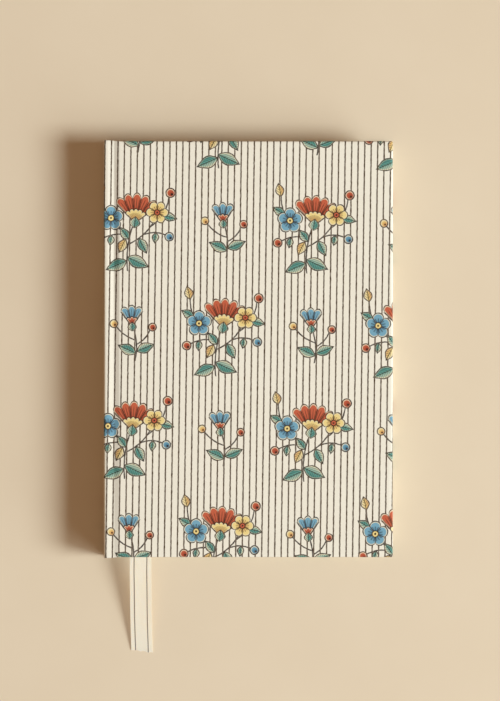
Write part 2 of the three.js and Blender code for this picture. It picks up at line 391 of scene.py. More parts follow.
def draw_posy(ink):
    main = ((-2.2, -19.5), (0.5, 1.5), 1.3)
    left = (along_stem(main, 0.42), (-9.5, 1.0), -1.8)
    right = (along_stem(main, 0.52), (9.5, 3.5), -1.6)
    far_left = (along_stem(left, 0.45), (-13.6, -6.6), -0.9)
    far_right = (along_stem(right, 0.42), (14.0, -4.6), 1.2)
    up_right = (along_stem(right, 0.7), (14.6, 12.0), -1.8)
    up_left = (along_stem(left, 0.8), (-13.2, 13.0), 1.8)
    for stem in (main, left, right, far_left, far_right, up_right, up_left):
        ink.stem(*stem)
    # The stem, the share of its length, degrees, and the leaf's length, width and colour
    for stem, share, *leaf in (
        (main, 0.2, 204, 9.4, 4.8, TEAL),
        (main, 0.27, -24, 9.8, 5.0, TEAL),
        (left, 0.3, 244, 6.2, 3.6, YELLOW),
        (right, 0.3, -62, 7.0, 3.8, TEAL),
        (main, 0.62, 128, 6.2, 3.4, TEAL),
        (up_left, 0.96, 104, 5.6, 3.4, YELLOW),
        (up_right, 0.45, -14, 6.2, 3.4, TEAL),
        (up_left, 0.45, 150, 6.0, 3.4, TEAL),
        (far_left, 0.5, 262, 4.4, 2.6, TEAL),
        (far_right, 0.55, 262, 4.4, 2.6, TEAL),
    ):
        ink.leaf(along_stem(stem, share), *leaf)
    ink.fan((0.6, 0.5), 86, 12.5, 5, 0.86, TERRACOTTA, YELLOW)
    ink.leaf((0.3, -1.6), 84, 4.8, 4.2, TEAL)
    ink.flower((-9.4, 2.4), 18, 5.2, 5, BLUE, YELLOW)
    ink.flower((9.8, 5.0), 0, 4.6, 6, YELLOW, TERRACOTTA)
    ink.berry((-14.4, -6.9), 1.8, TERRACOTTA)
    ink.berry((14.9, -5.0), 1.8, BLUE)
    ink.berry((15.2, 13.2), 1.9, TERRACOTTA)


def draw_single(ink):
    main = ((1.4, -13.5), (0.0, 1.5), -1.2)
    right = (along_stem(main, 0.45), (7.6, -0.2), -0.9)
    left = (along_stem(main, 0.56), (-6.8, 1.0), 0.9)
    for stem in (main, right, left):
        ink.stem(*stem)
    ink.leaf(along_stem(main, 0.2), 156, 8.2, 4.2, TEAL)
    ink.leaf(along_stem(main, 0.26), 22, 8.0, 4.0, TEAL)
    ink.fan((0.0, 0.5), 92, 9.0, 3, 0.62, BLUE, TERRACOTTA)
    ink.leaf((0.1, -1.2), 92, 3.8, 3.4, TEAL)
    ink.berry((8.5, 0.6), 1.6, TERRACOTTA)
    ink.berry((-7.6, 1.8), 1.6, YELLOW)


# Painted shade in the grooves, and darkening along the boards' edges that is partly wear and partly painted
# shade, in millimetres on the flat sheet
SPINE_MIDDLE = LIP_X / MM - 10.44
GROOVE_SHADE_FROM_MIDDLE = 15.1  # a little past the groove's lowest line
GROOVE_SHADE_REACH = 2.0
GROOVE_SHADE = 0.14
EDGE_WEAR_AND_SHADE_START = 0.6  # the width, within the boards' edges, of the darkening that is wear and painted shade
EDGE_WEAR_AND_SHADE = 0.2
ELSEWHERE = 200.0  # so far away that a sprig isn't drawn


def printed_covering():
    graph = Graph("printed_covering")
    sheet_x, sheet_y, _ = graph.split(graph.sheet())
    flat = graph.joined(sheet_x - sheet_y * PRINT_SLANT, sheet_y + sheet_x * PRINT_SLANT)

    def shaken(scale, reach):
        """The sheet as an unsteady hand follows it: how close the waves are, and how far they reach."""
        wobble = graph.noise(flat, scale, detail=1, output="Color")
        shake = graph.node("ShaderNodeVectorMath", {0: wobble, 1: (0.5, 0.5, 0.5)}, operation="SUBTRACT")
        inputs = {0: shake, 1: (reach, reach, 0), 2: flat}
        return graph.node("ShaderNodeVectorMath", inputs, operation="MULTIPLY_ADD")

    stripe_x, _, _ = graph.split(shaken(0.7, 0.22))
    stripe = abs(graph.math("FRACT", stripe_x / STRIPE_PITCH) - 0.5) * STRIPE_PITCH
    grain = graph.streaks(flat, 2.6, 0.42, detail=3)
    rough = graph.streaks(flat, 3.0, 2.0)
    width = gained(grain, 0.4 * STRIPE_WIDTH, 0.2 * STRIPE_WIDTH)
    width = width + rough * (0.2 * STRIPE_WIDTH)
    patches = graph.noise(flat, 0.05, detail=4)
    ink = Print(graph, graph.mix(patches, SHADED_CREAM, CREAM))
    stripes = ink.within(stripe - width)
    ink.line = stripes

    x, y, _ = graph.split(shaken(0.6, 0.42))
    column = (x - SPRIG_START[0]) / CELL[0] + 0.5
    row = (y - SPRIG_START[1]) / CELL[1] + 0.5
    across = (graph.math("FRACT", column) - 0.5) * (CELL[0] / SPRIG_SCALE)
    up = (graph.math("FRACT", row) - 0.5) * (CELL[1] / SPRIG_SCALE)
    parity = graph.math("FLOORED_MODULO", graph.math("FLOOR", column) + graph.math("FLOOR", row), 2)
    ink.point = (across + parity * ELSEWHERE, up)
    draw_posy(ink)
    ink.point = (across + (1 - parity) * ELSEWHERE, up)
    draw_single(ink)

    fibre = graph.noise(flat, 1.6, detail=4)
    from_spine = abs(sheet_x - SPINE_MIDDLE)
    from_dust = abs(from_spine - GROOVE_SHADE_FROM_MIDDLE)
    # Painted shade: the cover is darkened along the groove's wall beside the spine
    painted_groove_shade = graph.math("SUBTRACT", GROOVE_SHADE_REACH, from_dust, clamp=True) * (sheet_y * 0.0002 + GROOVE_SHADE)
    # Darker along the boards' edges: partly wear, partly painted shade that keeps the edges facing the lamps
    # from going white
    at_fore = from_spine - (FORE_X / MM - SPINE_MIDDLE - EDGE_WEAR_AND_SHADE_START)
    over_edge = highest(at_fore, abs(sheet_y) - (COVER_Y / MM - EDGE_WEAR_AND_SHADE_START))
    edge_wear_and_shade = graph.math("MULTIPLY", over_edge, 1.4, clamp=True) * EDGE_WEAR_AND_SHADE
    tone = gained(fibre, 0.16, 0.91) * (1 - painted_groove_shade) * (1 - edge_wear_and_shade)
    toned = graph.dimmed(ink.colour, tone)
    strength = ramp(grain, 0.9, 0.46)
    colour = graph.mix(ink.line * strength, toned, graph.mix(stripes, INK, STRIPE_INK))
    tooth = graph.streaks(flat, 3.2, 3.2, detail=3)
    normal = graph.bump(tooth, 0.00005)
    roughness = gained(fibre, 0.2, 0.62)
    return graph.finish(colour, roughness, normal, **{"Specular IOR Level": 0.25})


# Meshes
CREASE = radians(50)  # faces that meet more sharply than this are shaded apart
TURN_IN = 15 * MM
EDGE_RADIUS = 0.75 * MM  # of the covering round a board's edge
SPINE_RADIUS = 1.0 * MM
FOLDED = 0.8 * MM  # thickness of the covering where it is folded on itself
COVERING = 0.3 * MM
SAME_PLACE = 0.02 * MM  # points of the covering that are nearer are one
FINE_STEP = 0.2 * MM  # of a mesh where it bends
RIM_STEP = 1.5 * MM  # near the covering's edges
FLAT_STEP = 4 * MM
GROOVE_LOW = BOARD_X - 3.1 * MM  # its lowest line
GROOVE_END = BOARD_X - 0.45 * MM
GROOVE_DEPTH = 0.41 * MM


def make_object(name, points, faces, flats=None, smooth=True):
    mesh = bpy.data.meshes.new(name)
    mesh.from_pydata(points, [], faces)
    if flats is not None:
        layer = mesh.uv_layers.new(name="Sheet")
        for loop in mesh.loops:
            layer.data[loop.index].uv = flats[loop.vertex_index]
    mesh.validate()
    mesh.update()
    for face in mesh.polygons:
        face.use_smooth = smooth
    piece = bpy.data.objects.new(name, mesh)
    bpy.context.scene.collection.objects.link(piece)
    return piece


# A place across the case: a point of the covering's outer face, the way in, how thick the case is
# there, and the place on the flat sheet
Section = namedtuple("Section", "x z inward thick u")


def smooth_step(share):
    share = min(1, max(0, share))
    return share * share * (3 - 2 * share)


# The groove down the cover: places in millimetres, and its depth there as a share of GROOVE_DEPTH
PRESSED = ((-108, 0.42), (-66, 0.75), (0, 0.95), (58, 1.3), (88, 1.05), (108, 0.75))


def pressed(y):
    """The share of the groove's depth at a place between those of the list."""
    low_y, low = PRESSED[0]
    for high_y, high in PRESSED[1:]:
        if y <= high_y * MM:
            return low + (high - low) * smooth_step((y / MM - low_y) / (high_y - low_y))
        low_y, low = high_y, high
    return low


def groove(x, y):
    """How far the covering is pressed in beside the spine."""
    from_spine = (x - LIP_X) / (GROOVE_LOW - LIP_X)
    from_board = (GROOVE_END - x) / (GROOVE_END - GROOVE_LOW)
    share = max(0, min(from_spine, from_board))
    return GROOVE_DEPTH * pressed(y) * (0.75 * share + 0.25 * smooth_step(share))


def even(low, high, count):
    return [low + (high - low) * i / count for i in range(count + 1)]


def spread(low, high, step):
    return even(low, high, max(1, round((high - low) / step)))


def on_arc(centre, radius, angle):
    return centre[0] + radius * cos(angle), centre[1] + radius * sin(angle)


def run_along(line):
    """How far each place on a line is from its start, as one goes along it."""
    lengths = [0]
    for last, place in zip(line, line[1:]):
        lengths.append(lengths[-1] + dist(last, place))
    return lengths


def front_sections():
    """From the spine's corner over the groove to the board's fore-edge."""
    flat_end = FORE_X - EDGE_RADIUS
    xs = spread(LIP_X, BOARD_X + 1 * MM, FINE_STEP)
    xs += spread(BOARD_X + 1 * MM, FORE_X - TURN_IN, FLAT_STEP)[1:]
    xs += spread(FORE_X - TURN_IN, flat_end, RIM_STEP)[1:]
    sections = []
    for x in xs:
        board = smooth_step((x - BOARD_X + 0.4 * MM) / (0.8 * MM))
        thick = FOLDED + (BOOK_HIGH - COVER_LOW.z - FOLDED) * board
        sections.append(Section(x, BOOK_HIGH, (0, -1), thick, x))
    return sections


def spine_sections(u_start):
    """From the front lip down the spine's face to the back lip."""
    places = [(LIP_X, BOOK_HIGH, (0, -1))]
    steps = 8
    centre_x = SPINE_X + SPINE_RADIUS
    for corner_z, first in ((BOOK_HIGH - SPINE_RADIUS, pi / 2), (SPINE_RADIUS, pi)):
        for angle in even(first, first + pi / 2, steps):
            x, z = on_arc((centre_x, corner_z), SPINE_RADIUS, angle)
            places.append((x, z, (-cos(angle), -sin(angle))))
    places.append((LIP_X, 0, (0, 1)))
    middle = 1 + steps + 1
    down = spread(places[middle - 1][1], places[middle][1], -RIM_STEP)
    places[middle:middle] = [(SPINE_X, z, (1, 0)) for z in down[1:-1]]
    sections = []
    for (x, z, inward), length in zip(places, run_along([place[:2] for place in places])):
        from_corner = min(BOOK_HIGH - z, z) - SPINE_RADIUS
        share = smooth_step(from_corner / RIM_STEP) if abs(inward[1]) < 0.01 else 0
        thick = FOLDED + (LIP_X - SPINE_X - FOLDED) * share
        sections.append(Section(x, z, inward, thick, u_start - length))
    return sections


def wrap_profile(thick, radius, turn_in):
    """From the face's edge round to the end of the turn-in: (inset, depth, length) each."""
    radius = min(radius, thick / 2)
    near = []
    for angle in even(0, pi / 2, 5):
        near.append((radius * (1 - sin(angle)), radius * (1 - cos(angle)), radius * angle))
    round_it = pi * radius + thick - 2 * radius
    far = [(inset, thick - depth, round_it - length) for inset, depth, length in reversed(near)]
    folded = [radius + (turn_in - radius) * share for share in (0.35, 1)]
    return near + far + [(inset, thick, round_it + inset - radius) for inset in folded]


def cover_sheet(sections, reach, board_end):
    """One piece of the covering. It is folded in at the head and tail, and at the fore-edge if it
    has a board's end there."""
    points = []
    flats = []
    faces = []
    radius = EDGE_RADIUS

    def put(x, y, z, u, v):
        points.append((x, y, z))
        flats.append((u, v))
        return len(points) - 1

    def end_column(section, side):
        top = reach(section.x)
        limit = max(radius, min(TURN_IN, FORE_X - section.x)) if board_end else TURN_IN
        column = []
        for inset, depth, length in wrap_profile(section.thick, radius, limit):
            x = section.x + section.inward[0] * depth
            z = section.z + section.inward[1] * depth
            column.append(put(x, side * (top - inset), z, section.u, side * (top - radius + length)))
        return column

    tail = [end_column(section, -1) for section in sections]
    head = [end_column(section, 1) for section in sections]
    fore_y = reach(FORE_X)
    edge_y = fore_y - radius
    inner = fore_y - TURN_IN
    ys = spread(-inner, inner, FLAT_STEP)
    corner_ys = spread(inner, edge_y, RIM_STEP)[1:]
    ys = [-y for y in reversed(corner_ys)] + ys + corner_ys
    if board_end:
        last = sections[-1]
        edge = []
        for y in ys[1:-1]:
            limit = max(radius, min(TURN_IN, fore_y - abs(y)))
            column = []
            for inset, depth, length in wrap_profile(last.thick, radius, limit):
                column.append(put(FORE_X - inset, y, last.z - depth, FORE_X - radius + length, y))
            edge.append(column)

        def corner(side):
            columns = []
            for angle in even(0, pi / 2, 6):
                column = []
                for inset, depth, length in wrap_profile(last.thick, radius, radius):
                    round_off = max(0, radius - inset)
                    keep = max(radius, inset)
                    x = FORE_X - keep + round_off * sin(angle)
                    y = side * (fore_y - keep + round_off * cos(angle))
                    u = FORE_X - radius + length * sin(angle)
                    v = side * (edge_y + length * cos(angle))
                    column.append(put(x, y, last.z - depth, u, v))
                columns.append(column)
            return columns

        strips = [tail + corner(-1) + edge + corner(1)[::-1] + head[::-1]]
    else:
        strips = [tail, head[::-1]]
    for strip in strips:
        for a, b in zip(strip, strip[1:]):
            for k in range(len(a) - 1):
                faces.append((a[k], a[k + 1], b[k + 1], b[k]))

    grid = []
    for index, section in enumerate(sections):
        top = reach(section.x) - min(radius, section.thick / 2)
        stretch = top / edge_y
        column = [tail[index][0]]
        for y in ys[1:-1]:
            column.append(put(section.x, y * stretch, section.z, section.u, y * stretch))
        column.append(head[index][0])
        grid.append(column)
    for a, b in zip(grid, grid[1:]):
        for k in range(len(ys) - 1):
            faces.append((a[k], b[k], b[k + 1], a[k + 1]))
    return points, faces, flats


def weld(piece, distance):
    """Joins points that lie together, as at the seams that a flat sheet leaves open."""
    shape = bmesh.new()
    shape.from_mesh(piece.data)
    bmesh.ops.remove_doubles(shape, verts=shape.verts, dist=distance)
    bmesh.ops.dissolve_degenerate(shape, edges=shape.edges, dist=distance)
    bmesh.ops.recalc_face_normals(shape, faces=shape.faces)
    shape.to_mesh(piece.data)
    shape.free()


def thicken(piece, thickness, offset):
    """Gives a sheet its thickness: about its middle at offset 0, all of it inwards at -1."""
    solid = piece.modifiers.new("thickness", "SOLIDIFY")
    solid.thickness = thickness
    solid.offset = offset
    solid.use_even_offset = False
    graph = bpy.context.evaluated_depsgraph_get()
    mesh = bpy.data.meshes.new_from_object(piece.evaluated_get(graph))
    piece.modifiers.clear()
    mesh.set_sharp_from_angle(angle=CREASE)
    piece.data = mesh


def cap_reach(x):
    """How far the covering stands towards the head: the boards' edge, and a little more at the spine."""
    return COVER_Y + (CAP_Y - COVER_Y) * (1 - smooth_step((x - LIP_X) / (BOARD_X - LIP_X)))


def make_covering(material):
    front = front_sections()
    spine = spine_sections(front[0].u)
    shapes = {"front_cover_paper": cover_sheet(front, cap_reach, True)}
    shapes["spine_paper"] = cover_sheet(spine, lambda x: CAP_Y, False)
    points, faces, flats = shapes["front_cover_paper"]
    points[:] = [(x, y, z - groove(x, y)) for x, y, z in points]
    turned_points = [(x, y, BOOK_HIGH - z) for x, y, z in points]
    turned_faces = [face[::-1] for face in faces]
    turned_flats = [(spine[-1].u - (u - front[0].u), v) for u, v in flats]
    shapes["back_cover_paper"] = (turned_points, turned_faces, turned_flats)
    pieces = {}
    for name, (points, faces, flats) in shapes.items():
        piece = make_object(name, points, faces, flats)
        weld(piece, SAME_PLACE)
        # The faces have to look away from the book's middle
        face = piece.data.polygons[len(piece.data.polygons) - 1]
        if face.normal.dot(face.center - Vector((0, 0, BOOK_HIGH / 2))) < 0:
            piece.data.flip_normals()
        thicken(piece, COVERING, -1)
        piece.data.materials.append(material)
        pieces[name] = piece
    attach(pieces["spine_paper"], "text_block")
    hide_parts("spine_covering")
    for side, level in (("front", BOOK_HIGH), ("back", 0)):
        piece = pieces[f"{side}_cover_paper"]
        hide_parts(f"{side}_covering", f"{side}_joint_covering")
        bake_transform(piece)


make_covering(printed_covering())


# Paper and cloth inside the case. Noise has scales in waves to the millimetre, bumps have metres
def paper(name, light, dark, fleck):
    """Uncoated paper with a fine tooth. Its cut edges are darker and warmer, in streaks: painted shade
    between the leaves.
    """
    graph = Graph(name)
    place = graph.place()
    cloud = graph.noise(place, 0.035, detail=3)
    fibre = graph.noise(place, 2.2, detail=4)
    colour = graph.mix(cloud, light, dark)
    speck = ramp(fibre, 6.0, -3.9)
    colour = graph.mix(speck * 0.35, colour, fleck)
    # Painted shade on the cut edges: darker streaks where the leaves meet, and a warmer tint
    streak = graph.streaks(place, 0.03, 0.03, 2.6, detail=5)
    tone = gained(streak, 0.85, 0.21)
    facing = graph.split(graph.node("ShaderNodeNewGeometry", {}, output="True Normal"))[2]
    edge = 1 - graph.math("MULTIPLY", abs(facing), 1.4, clamp=True)
    level = gained(tone - 1, edge, 1.0)
    colour = graph.mix(edge * 0.4, colour, rgb(228, 208, 170))
    toned = graph.dimmed(colour, level)
    normal = graph.bump(fibre, 0.00002)
    return graph.finish(toned, gained(fibre, 0.12, 0.82), normal)


def board_stock():
    graph = Graph("pulp_board")
    place = graph.place()
    fibre = graph.streaks(place, 0.9, 0.9, 2.6, detail=5)
    colour = graph.mix(fibre, rgb(146, 134, 114), rgb(196, 184, 160))
    speck = ramp(graph.noise(place, 1.7, detail=1), 9.0, -6.2)
    colour = graph.mix(speck, colour, rgb(92, 82, 72))
    return graph.finish(colour, 0.93, graph.bump(fibre, 0.00008))


def threads(graph, x, y, pitch):
    """Two sets of threads that cross: where they are, from 0 between threads to 1 on one."""
    sets = []
    for part in (x, y):
        across = abs(graph.math("FRACT", part / pitch) - 0.5) * 2
        sets.append(ramp(across, -2.6, 1.7))
    return highest(*sets)


def gauze(name, upright):
    graph = Graph(name)
    x, y, z = graph.split(graph.place())
    cover = threads(graph, z if upright else x, y, 0.9)
    wear = graph.noise(graph.place(), 0.9, detail=3)
    thread_colour = graph.mix(wear, rgb(226, 219, 200), rgb(242, 236, 220))
    colour = graph.mix(cover, rgb(188, 174, 146), thread_colour)
    return graph.finish(colour, 0.95, graph.bump(cover, 0.00015))


def kraft():
    graph = Graph("kraft_lining")
    place = graph.place()
    streak = graph.noise(graph.scaled(place, 1, 0.15, 3.0), 1.2, detail=4)
    ribs = wave(graph.split(place)[2] * 9.0)
    colour = graph.mix(streak, rgb(168, 126, 82), rgb(202, 162, 116))
    return graph.finish(colour, 0.88, graph.bump(ribs * 0.3 + streak, 0.00004))


def linen_thread():
    graph = Graph("linen_thread")
    x, y, z = graph.split(graph.place())
    twist = wave((z + y * 0.8) * 11.0)
    colour = graph.mix(twist, rgb(206, 194, 166), rgb(240, 232, 212))
    return graph.finish(colour, 0.7, graph.bump(twist, 0.0001))


PAGE_STOCK = paper("page_paper", rgb(240, 233, 215), rgb(235, 227, 207), rgb(214, 202, 176))
ENDPAPER_STOCK = paper("endpaper", rgb(234, 222, 195), rgb(228, 214, 184), rgb(196, 176, 138))


def place_of(node):
    low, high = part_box(node)
    return (low + high) / 2


def grid_faces(rows, columns, start=0):
    """The faces between points that were put down row by row."""
    faces = []
    for i in range(rows - 1):
        for k in range(columns - 1):
            a = start + i * columns + k
            faces.append((a, a + columns, a + columns + 1, a + 1))
    return faces


def sheet_along(name, lines, ys, thickness, material, slot, moved=None, smooth=lambda face: False):
    """Sheets of paper or cloth that run straight along Y. Each line is a list of (x, z) across
    the sheet's middle, with its length from its start kept as the flat sheet's U. moved gives
    what is added to each point, and smooth which faces are shaded smoothly."""
    points = []
    faces = []
    flats = []
    for index, line in enumerate(lines):
        faces += grid_faces(len(line), len(ys), len(points))
        for (x, z), length in zip(line, run_along(line)):
            for y in ys:
                dx, dy, dz = moved(index, x, y) if moved else (0, 0, 0)
                points.append((x + dx, y + dy, z + dz))
                flats.append((line[0][0] + length, y))
    piece = make_object(name, points, faces, flats)
    thicken(piece, thickness, 0)
    for face in piece.data.polygons:
        face.use_smooth = smooth(face)
    piece.data.materials.append(material)
    return piece


SIGNATURES = 10
LEAVES_EACH = 8  # in a signature
LEAF_PITCH = (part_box("signature_10")[1].z - BLOCK_LOW.z) / LEAVES_EACH
ENDPAPER_THICK = FLYLEAF_HIGH.z - FLYLEAF_LOW.z
# What sheets are made of: thickness, with a little air left between them, material and slot
PAGE = (0.9 * LEAF_PITCH, PAGE_STOCK, "page_paper")
ENDPAPER = (0.9 * ENDPAPER_THICK, ENDPAPER_STOCK, "endpaper")
FOLD_CENTRE = FOLD_X + 0.5 * MM
FLAT_FROM = FOLD_CENTRE + 3 * MM  # where a folded sheet has come flat
STUB_END = FOLD_CENTRE + 0.3 * MM  # where the folded sheets of the leaves that turn end
LEAF_START = STUB_END + 0.02 * MM
LEAF_END = PAGE_X - 0.04 * MM
# How far, in millimetres, signatures and leaves lie out of line with one another
GROUP_PLAY = 0.14
LEAF_PLAY = 0.08
ALONG_PLAY = 0.05
SKEW_PLAY = 0.04
LEAVES = [f"leaf_{number:02d}" for number in range(1, 5)]
PAGE_STEP = 30 * MM
PAGE_YS = spread(-PAGE_Y, PAGE_Y, PAGE_STEP)


def fold(low, high, low_end, high_end):
    """A folded sheet's line: along the top, round the fold and back along the bottom."""
    radius = (high - low) / 2
    middle = (high + low) / 2
    line = [(high_end, high)]
    if high_end > FLAT_FROM:
        line.append((FLAT_FROM, high))
    for angle in even(pi / 2, 1.5 * pi, 8):
        line.append(on_arc((FOLD_CENTRE, middle), radius, angle))
    line += [(FLAT_FROM, low), (low_end, low)]
    return line


def make_signatures():
    rng = random.Random(7)
    for number in range(1, SIGNATURES + 1):
        node = f"signature_{number:02d}"
        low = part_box(node)[0].z
        lines = []
        for k in range(LEAVES_EACH // 2):
            bottom = low + (k + 0.5) * LEAF_PITCH
            if number == 1:
                lines.append(fold(bottom, place_of(LEAVES[k]).z, PAGE_X, STUB_END))
            else:
                lines.append(fold(bottom, low + (LEAVES_EACH - 0.5 - k) * LEAF_PITCH, PAGE_X, PAGE_X))
        group = rng.uniform(-GROUP_PLAY, 0.0)
        offsets = []
        for _ in lines:
            out = group + rng.uniform(-LEAF_PLAY, 0.0)
            along = rng.uniform(-ALONG_PLAY, ALONG_PLAY)
            offsets.append((out, along, rng.uniform(-SKEW_PLAY, SKEW_PLAY)))

        def moved(index, x, y):
            out, along, skew = offsets[index]
            share = max(0, (x - FOLD_X) / (PAGE_X - FOLD_X))
            return (out + skew * y / PAGE_Y) * MM * share, along * MM, 0

        piece = sheet_along(f"folded_sheets_{number:02d}", lines, PAGE_YS, *PAGE, moved)
        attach(piece, "text_block")
        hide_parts(node)


GUTTER_END = FOLD_X + 3.05 * MM
LEAF_RIM = 0.2 * MM  # along a leaf's edges
BEND_STEP = 0.06 * MM  # taken off GUTTER_END once for each leaf, though the result is not used


def make_leaf(node, number, *kind):
    """A leaf of the block, with a finer mesh in the gutter, where the text block holds it."""
    z = place_of(node).z
    xs = spread(LEAF_START, GUTTER_END, FINE_STEP)
    xs += spread(GUTTER_END, LEAF_END - LEAF_RIM, 14 * MM)[1:] + [LEAF_END]
    line = [(x, z) for x in xs]
    ys = [-PAGE_Y] + spread(-PAGE_Y + LEAF_RIM, PAGE_Y - LEAF_RIM, PAGE_STEP) + [PAGE_Y]
    piece = sheet_along(f"{node}_sheet", [line], ys, *kind, smooth=lambda face: abs(face.normal.z) > 0.7)
    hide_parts(node)
    GUTTER_END - number * BEND_STEP
    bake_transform(piece)


def make_leaves():
    make_leaf("front_flyleaf", 0, *ENDPAPER)
    z = place_of("back_flyleaf").z
    line = [(LEAF_START, z), (0, z), (LEAF_END, z)]
    back = sheet_along("back_flyleaf_sheet", [line], PAGE_YS, *ENDPAPER)
    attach(back, "text_block")
    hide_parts("back_flyleaf")
    for number, node in enumerate(LEAVES, 1):
        make_leaf(node, number, *PAGE)


FLAP_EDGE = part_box("front_mull_flap")[1].x
FLAP_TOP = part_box("front_mull_flap")[1].y
WINDOW_X = FORE_X - TURN_IN
WINDOW_Y = COVER_Y - TURN_IN
SINK = 0.36 * MM  # how far the pastedown sinks between the turn-ins
SINK_EDGE = 0.9 * MM  # over which it sinks
SINK_STEP = SINK_EDGE / 5
FLAP_FILLS = 0.85  # of that depth, where the mull's flap lies in it


def sunk(x, y):
    """How far the pastedown lies sunk into the board's open window, at a place on it."""
    inside = smooth_step((WINDOW_X - x) / SINK_EDGE) * smooth_step((WINDOW_Y - abs(y)) / SINK_EDGE)
    flap = smooth_step((FLAP_EDGE - x) / SINK_EDGE + 1) * smooth_step((FLAP_TOP - abs(y)) / SINK_EDGE + 1)
    started = smooth_step((x - BOARD_X) / SINK_EDGE)
    return SINK * inside * started * (1 - FLAP_FILLS * flap)


def make_endpaper(side):
    """The pastedown, with the fold that joins it to the flyleaf."""
    up = 1 if side == "front" else -1
    inner_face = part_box("front_pastedown")[0].z if side == "front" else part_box("back_pastedown")[1].z
    level = inner_face + up * ENDPAPER_THICK / 2
    fly = place_of(f"{side}_flyleaf").z
    radius = abs(level - fly) / 2
    centre_x = FOLD_X + 0.3 * MM
    line = [(STUB_END, fly)]
    for angle in even(-0.5 * pi, -1.5 * pi, 6):
        line.append(on_arc((centre_x, (level + fly) / 2), radius, up * angle))
    xs = spread(centre_x, BOARD_X, 0.3 * MM)[1:]
    for edge_x in (BOARD_X, FLAP_EDGE - 0.1 * MM, WINDOW_X - 1 * MM):
        xs += [edge_x + SINK_STEP * k for k in range(1, 8)]
    xs += spread(WINDOW_X + 1 * MM, PAGE_X, FLAT_STEP)
    xs += even(-50 * MM, 50 * MM, 10)
    line += [(x, level) for x in sorted(set(round(x, 7) for x in xs))]
    half = [SINK_STEP * k for k in range(-4, 8)]
    edges = [middle + step for middle in (FLAP_TOP, WINDOW_Y - SINK_EDGE) for step in half]
    tops = sorted([y for y in edges if y < PAGE_Y] + [0, 30 * MM, 60 * MM, PAGE_Y])
    ys = [-y for y in reversed(tops[1:])] + tops

    def moved(index, x, y):
        return 0, 0, up * sunk(x, y)

    piece = sheet_along(f"{side}_endpaper", [line], ys, *ENDPAPER, moved, lambda face: True)
    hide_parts(f"{side}_pastedown", f"{side}_endpaper_fold")
    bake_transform(piece)


MULL_SHOWN = 0.16 * MM  # its thickness, as it is seen


def make_mull_joint(side):
    """The gauze that runs from the block's spine over the gap to the board."""
    flap = place_of(f"{side}_mull_flap").z
    spine_x = place_of("spine_mull").x
    block = MULL_HIGH.z if side == "front" else MULL_LOW.z
    corner = 0.12 * MM
    toward = 1 if flap > block else -1
    line = [(spine_x, block), (spine_x, flap - toward * corner), (spine_x + corner, flap)]
    line += [(x, flap) for x in spread(spine_x + 2 * corner, BOARD_X, 0.35 * MM)]
    ys = spread(-MULL_HIGH.y, MULL_HIGH.y, 20 * MM)
    piece = sheet_along(f"{side}_mull", [line], ys, MULL_SHOWN, GAUZE, "mull_cloth")
    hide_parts(f"{side}_mull_joint")
    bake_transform(piece)


BAND_PITCH = 0.62 * MM


def band_material():
    graph = Graph("band_silk")
    flat = graph.sheet()
    along, around, _ = graph.split(flat)
    wound = graph.math("FRACT", (along + around * 0.09) / (2000 * BAND_PITCH))
    first = ramp(abs(wound - 0.5), 24.0, -5.5)
    strand = wave(around * 9.0 + along * 4.0)
    colour = graph.mix(first, rgb(160, 66, 42), rgb(236, 222, 190))
    toned = graph.mix(strand * 0.25, colour, rgb(96, 52, 36))
    return graph.finish(toned, 0.5, graph.bump(strand, 0.00005))


def make_band(node, material):
    """A bead of silk wound round a core, across the end of the block's spine."""
    low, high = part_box(node)
    end = 1 if high.y > 0 else -1
    radius = 0.86 * MM
    centre = (low.x + 1.0 * MM, end * (max(high.y, -low.y) - 1.0 * MM))
    rings = spread(low.z + 0.1 * MM, high.z - 0.1 * MM, BAND_PITCH / 8)
    sides = 16
    points = []
    flats = []
    for z in rings:
        for angle in even(0, 2 * pi, sides):
            swell = abs(sin(pi * z / BAND_PITCH + angle / 4))
            share = radius * (0.9 + 0.13 * math.sqrt(swell))
            points.append((*on_arc(centre, share, angle), z))
            flats.append((z, radius * angle))
    faces = grid_faces(len(rings), sides + 1)
    faces.append(tuple(range(sides)))
    faces.append(tuple((len(rings) - 1) * (sides + 1) + k for k in range(sides))[::-1])
    tape_x = low.x + 0.13 * MM
    tape_ys = (end * min(abs(low.y), abs(high.y)), centre[1])
    base = len(points)
    for x in (tape_x - 0.1 * MM, tape_x + 0.08 * MM):
        for y in tape_ys:
            for z in (low.z + 0.1 * MM, high.z - 0.1 * MM):
                points.append((x, y, z))
                flats.append((z, y))
    for quad in ((0, 1, 3, 2), (4, 6, 7, 5), (0, 4, 5, 1), (2, 3, 7, 6), (0, 2, 6, 4), (1, 5, 7, 3)):
        faces.append(tuple(base + corner for corner in quad))
    piece = make_object(f"{node}_silk", points, faces, flats)
    weld(piece, SAME_PLACE / 20)
    piece.data.materials.append(material)
    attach(piece, "text_block")
    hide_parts(node)


# The ribbon marker
RIBBON_THICK = 0.2 * MM
RIBBON_LIES = 0.16 * MM  # the height of its middle where it lies on the floor
WALE_PITCH = 0.62  # of the twill, in millimetres
LINE_PLACES = (2.25, 8.9)  # of the two dark lines, from the left selvedge
RIBBON_WIDE = 11.3
RIBBON_HALF_WIDE = RIBBON_WIDE * MM / 2
LET_THROUGH = 0.56  # of the light, at each of the ribbon's two faces


